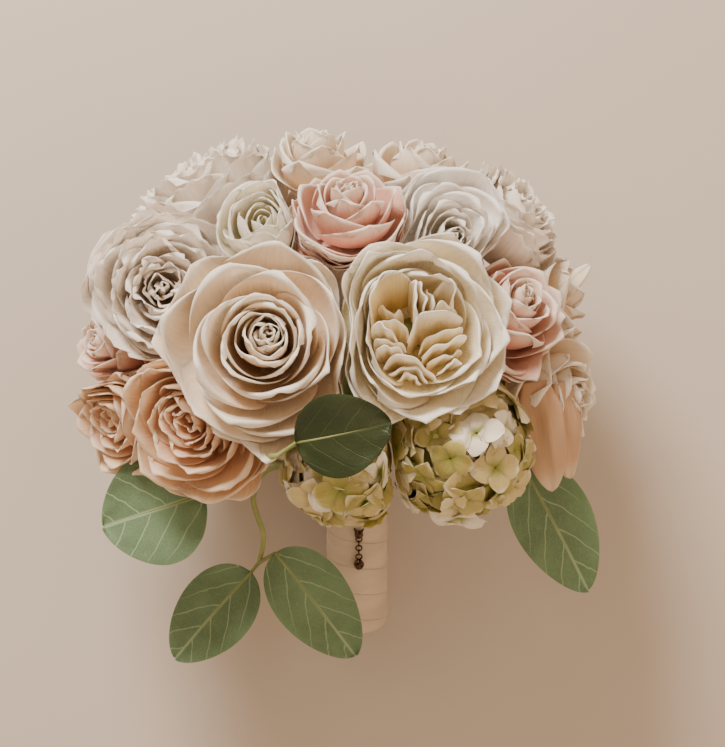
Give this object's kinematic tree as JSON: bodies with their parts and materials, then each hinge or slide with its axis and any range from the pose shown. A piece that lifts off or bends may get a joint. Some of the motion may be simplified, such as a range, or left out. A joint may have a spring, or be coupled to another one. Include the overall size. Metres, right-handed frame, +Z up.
{
  "type": "rose bouquet",
  "caption": "Hand-tied dome bouquet of open roses, peonies, hydrangea and leaf sprays, with a ribbon-wrapped handle and a small charm, lying on its side.",
  "frame": {"origin": "on the surface the bouquet lies on, under the middle of its bounding box", "axes": "+Z up; the flowers face up and toward +Y, and the handle runs down toward -Y; +X is to the right of someone who looks at the flowers with the handle toward them"},
  "size_m": [0.2784, 0.2816, 0.2261],
  "materials": {
    "blush_petals": "soft petal",
    "cream_petals": "soft petal",
    "dark_metal": "dark bronzed",
    "eucalyptus_leaf": "matt leaf",
    "green_stem": "satin",
    "hydrangea_petals": "soft petal",
    "ivory_petals": "soft petal",
    "lemon_petals": "soft petal",
    "peach_petals": "soft petal",
    "pearl": "pearl",
    "ribbon": "satin ribbon",
    "salal_leaf": "glossy leaf",
    "white_petals": "soft petal"
  },
  "bodies": {
    "root": {"rose_cream_front": "cream_petals", "rose_ivory_garden": "ivory_petals", "peony_white_crown": "white_petals", "peony_white_left": "white_petals", "rose_pink_left": "blush_petals", "rose_peach_left": "peach_petals", "rose_peach_low": "peach_petals", "ranunculus_lemon": "lemon_petals", "rose_blush_crown": "blush_petals", "rose_cream_crown": "cream_petals", "rose_ivory_crown": "ivory_petals", "rose_white_crown": "white_petals", "peony_white_right": "white_petals", "rose_pink_right": "blush_petals", "rose_peach_right": "peach_petals", "hydrangea_front": "hydrangea_petals", "hydrangea_right": "hydrangea_petals", "rose_cream_right": "cream_petals", "rose_cream_back": "cream_petals", "rose_blush_back": "blush_petals", "rose_peach_back": "peach_petals", "hydrangea_back_right": "hydrangea_petals", "peony_white_back": "white_petals", "rose_ivory_back_left": "ivory_petals", "rose_blush_back_left": "blush_petals", "stem_rose_cream_front": "green_stem", "stem_rose_ivory_garden": "green_stem", "stem_peony_crown": "green_stem", "stem_peony_left": "green_stem", "stem_spray_left": "green_stem", "stem_rose_peach_low": "green_stem", "stem_ranunculus": "green_stem", "stem_rose_blush_crown": "green_stem", "stem_rose_cream_crown": "green_stem", "stem_rose_ivory_crown": "green_stem", "stem_rose_white_crown": "green_stem", "stem_peony_right": "green_stem", "stem_rose_pink_right": "green_stem", "stem_rose_peach_right": "green_stem", "stem_hydrangea_front": "green_stem", "stem_hydrangea_right": "green_stem", "stem_spray_right": "green_stem", "stem_rose_cream_back": "green_stem", "stem_rose_blush_back": "green_stem", "stem_hydrangea_back": "green_stem", "stem_peony_back": "green_stem", "stem_spray_back": "green_stem", "leaf_salal_front": "salal_leaf", "eucalyptus_left": "eucalyptus_leaf", "eucalyptus_right": "eucalyptus_leaf", "handle_wrap": "ribbon", "pearl_pin_head": "pearl", "charm_chain": "dark_metal"}
  },
  "joints": []
}
